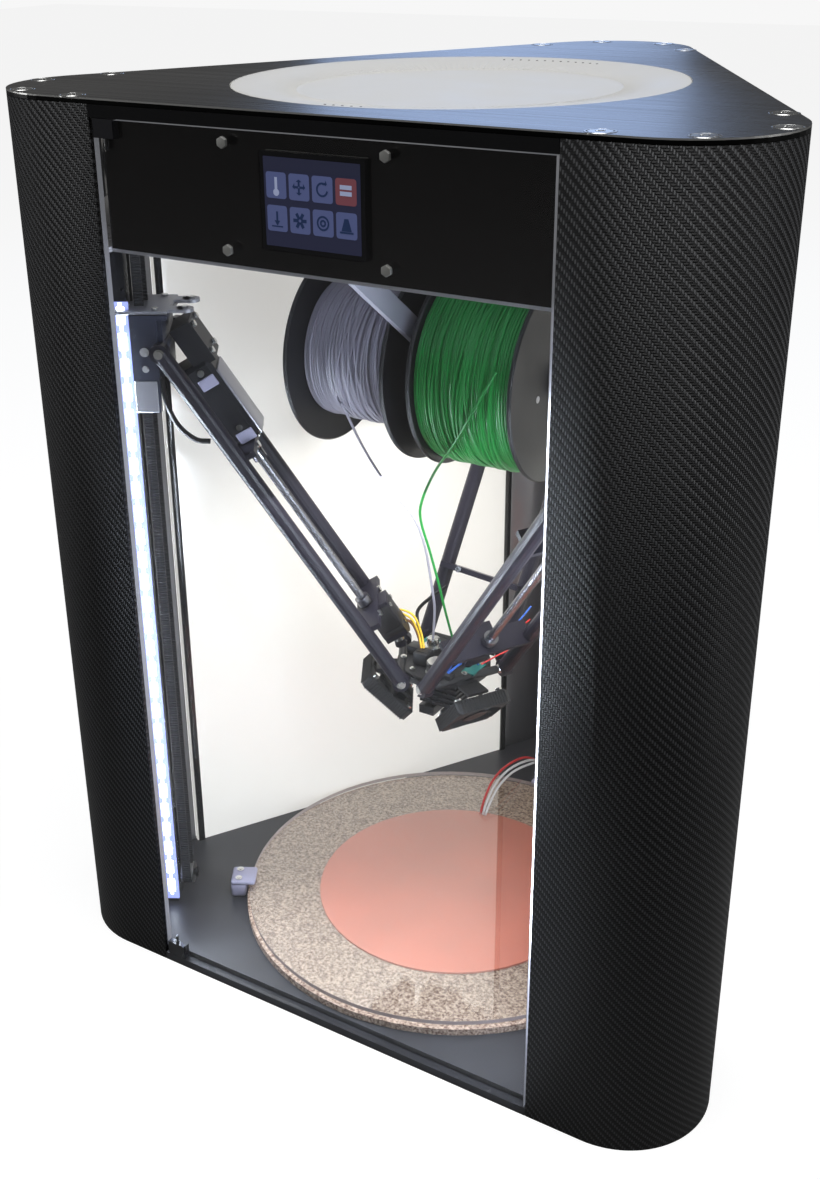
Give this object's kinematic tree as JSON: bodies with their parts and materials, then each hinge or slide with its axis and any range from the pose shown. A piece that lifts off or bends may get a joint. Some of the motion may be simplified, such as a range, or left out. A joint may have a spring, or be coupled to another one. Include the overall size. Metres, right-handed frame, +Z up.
{
  "type": "delta 3-D printer",
  "caption": "Delta 3-D printer in a tall rounded-triangle case with a clear door, slotted corner towers, paired arms carrying a print head, a round heated glass bed and hanging spools.",
  "frame": {"origin": "centre of the rounded triangle on the underside of the base plate", "axes": "+Z up; the door's face looks along -Y; +X to the right as seen from the door"},
  "size_m": [0.4804, 0.4314, 0.596],
  "materials": {
    "carbon_film": "black twill-pattern film on bent sheet, bare grey inside",
    "dark_aluminium": "dark anodised, fine brushed",
    "black_gloss": "gloss black",
    "slate": "satin slate grey floor",
    "white_sheet": "gloss white sheet",
    "ivory": "matt ivory moulding",
    "clear_acrylic": "clear polished acrylic",
    "black_plastic": "satin black",
    "screen": "glossy lit display",
    "black_metal": "black anodised extrusion",
    "motor": "painted motor and supply bodies",
    "grey_metal": "turned satin grey",
    "rubber": "toothed belt rubber",
    "light_strip": "lit white light strip",
    "cork": "fine pressed cork",
    "silicone": "matt salmon silicone",
    "bed_glass": "clear flat glass",
    "white_plastic": "satin white",
    "green_plastic": "satin green",
    "board": "printed circuit board"
  },
  "bodies": {
    "case": {"base_plate": "slate", "top_plate": "dark_aluminium", "vent_cover": "ivory", "top_frame": "black_gloss", "deck_plate": "white_sheet", "side_panel_left": "white_sheet", "side_panel_right": "white_sheet", "shell_left": "carbon_film", "shell_right": "carbon_film", "shell_back": "carbon_film", "tower_left": "black_metal", "tower_right": "black_metal", "tower_back": "black_metal", "belt_left": "rubber", "belt_right": "rubber", "belt_back": "rubber", "drive_motor_left": "motor", "drive_motor_right": "motor", "drive_motor_back": "motor", "led_strip_left": "light_strip", "led_strip_right": "light_strip", "cork_pad": "cork", "heater_pad": "silicone", "glass_plate": "bed_glass", "spool_holder": "grey_metal", "filament_white": "white_plastic", "filament_green": "green_plastic", "door_hinge_lower": "black_plastic", "door_hinge_upper": "black_plastic", "power_supply": "motor", "controller_board": "board", "power_inlet": "black_plastic"},
    "door": {"door_panel": "clear_acrylic", "control_panel": "black_gloss", "touch_screen": "screen"},
    "print_head": {"effector_plate": "black_plastic", "hotend_pair": "black_metal", "fan_left": "black_plastic", "fan_right": "black_plastic", "arm_left": "black_plastic", "arm_right": "black_plastic", "arm_back": "black_plastic", "extruder_motor_left": "motor", "extruder_motor_right": "motor"},
    "carriage_left": {"carriage_left": "black_plastic"},
    "drive_pulley_left": {"drive_pulley_left": "grey_metal"},
    "idler_pulley_left": {"idler_pulley_left": "grey_metal"},
    "carriage_right": {"carriage_right": "black_plastic"},
    "drive_pulley_right": {"drive_pulley_right": "grey_metal"},
    "idler_pulley_right": {"idler_pulley_right": "grey_metal"},
    "carriage_back": {"carriage_back": "black_plastic"},
    "drive_pulley_back": {"drive_pulley_back": "grey_metal"},
    "idler_pulley_back": {"idler_pulley_back": "grey_metal"},
    "spool_white": {"spool_white": "white_plastic"},
    "spool_green": {"spool_green": "green_plastic"},
    "fan_rotor_left": {"fan_rotor_left": "black_plastic"},
    "fan_rotor_right": {"fan_rotor_right": "black_plastic"},
    "drive_shaft_left": {"drive_shaft_left": "grey_metal"},
    "drive_shaft_right": {"drive_shaft_right": "grey_metal"},
    "rocker_switch": {"rocker_switch": "black_gloss"}
  },
  "joints": [
    {"name": "door_swing", "type": "hinge", "parent": "case", "child": "door", "pos_m": [-0.1345, -0.161, 0.3], "axis": [0, 0, -1], "range_deg": [0, 110]},
    {"name": "head_lift", "type": "slide", "parent": "case", "child": "print_head", "axis": [0, 0, 1], "range_m": [-0.126, 0.034], "deforming": ["filament_white", "filament_green"]},
    {"name": "carriage_left_slide", "type": "slide", "parent": "case", "child": "carriage_left", "axis": [0, 0, 1], "range_m": [-0.1265, 0.0345]},
    {"name": "drive_pulley_left_turn", "type": "hinge", "parent": "case", "child": "drive_pulley_left", "pos_m": [-0.1732, -0.1, 0.552], "axis": [-0.866, -0.5, 0], "range_deg": [-1140, 310]},
    {"name": "idler_pulley_left_turn", "type": "hinge", "parent": "case", "child": "idler_pulley_left", "pos_m": [-0.1732, -0.1, 0.026], "axis": [-0.866, -0.5, 0], "range_deg": [-1140, 310]},
    {"name": "carriage_right_slide", "type": "slide", "parent": "case", "child": "carriage_right", "axis": [0, 0, 1], "range_m": [-0.1265, 0.0345]},
    {"name": "drive_pulley_right_turn", "type": "hinge", "parent": "case", "child": "drive_pulley_right", "pos_m": [0.1732, -0.1, 0.552], "axis": [0.866, -0.5, 0], "range_deg": [-1140, 310]},
    {"name": "idler_pulley_right_turn", "type": "hinge", "parent": "case", "child": "idler_pulley_right", "pos_m": [0.1732, -0.1, 0.026], "axis": [0.866, -0.5, 0], "range_deg": [-1140, 310]},
    {"name": "carriage_back_slide", "type": "slide", "parent": "case", "child": "carriage_back", "axis": [0, 0, 1], "range_m": [-0.1265, 0.0345]},
    {"name": "drive_pulley_back_turn", "type": "hinge", "parent": "case", "child": "drive_pulley_back", "pos_m": [0, 0.2, 0.552], "axis": [0, 1, 0], "range_deg": [-1140, 310]},
    {"name": "idler_pulley_back_turn", "type": "hinge", "parent": "case", "child": "idler_pulley_back", "pos_m": [0, 0.2, 0.026], "axis": [0, 1, 0], "range_deg": [-1140, 310]},
    {"name": "spool_white_turn", "type": "hinge", "parent": "case", "child": "spool_white", "pos_m": [-0.0535, 0, 0.4235], "axis": [1, 0, 0], "continuous": true},
    {"name": "spool_green_turn", "type": "hinge", "parent": "case", "child": "spool_green", "pos_m": [0.036, 0, 0.4235], "axis": [1, 0, 0], "continuous": true},
    {"name": "fan_rotor_left_spin", "type": "hinge", "parent": "print_head", "child": "fan_rotor_left", "pos_m": [-0.05741, 0.0028, 0.1709], "axis": [-0.6124, -0.3536, -0.7071], "continuous": true},
    {"name": "fan_rotor_right_spin", "type": "hinge", "parent": "print_head", "child": "fan_rotor_right", "pos_m": [0.01361, 0.0028, 0.1709], "axis": [0.6124, -0.3536, -0.7071], "continuous": true},
    {"name": "drive_shaft_left_turn", "type": "hinge", "parent": "print_head", "child": "drive_shaft_left", "pos_m": [-0.09946, -0.03882, 0.31309], "axis": [0.3843, 0.3459, -0.8559], "continuous": true},
    {"name": "drive_shaft_right_turn", "type": "hinge", "parent": "print_head", "child": "drive_shaft_right", "pos_m": [0.07702, -0.03895, 0.30152], "axis": [-0.5355, 0.3459, -0.7705], "continuous": true},
    {"name": "switch_rock", "type": "hinge", "parent": "case", "child": "rocker_switch", "pos_m": [0.08219, 0.17505, 0.548], "axis": [0.5, -0.866, 0], "range_deg": [0, 12]}
  ],
  "couplings": [
    {"joint": "carriage_left_slide", "follows": "head_lift", "ratio": 1},
    {"joint": "drive_pulley_left_turn", "follows": "head_lift", "rad_per_m": 157.09},
    {"joint": "idler_pulley_left_turn", "follows": "head_lift", "rad_per_m": 157.09},
    {"joint": "carriage_right_slide", "follows": "head_lift", "ratio": 1},
    {"joint": "drive_pulley_right_turn", "follows": "head_lift", "rad_per_m": 157.09},
    {"joint": "idler_pulley_right_turn", "follows": "head_lift", "rad_per_m": 157.09},
    {"joint": "carriage_back_slide", "follows": "head_lift", "ratio": 1},
    {"joint": "drive_pulley_back_turn", "follows": "head_lift", "rad_per_m": 157.09},
    {"joint": "idler_pulley_back_turn", "follows": "head_lift", "rad_per_m": 157.09}
  ]
}
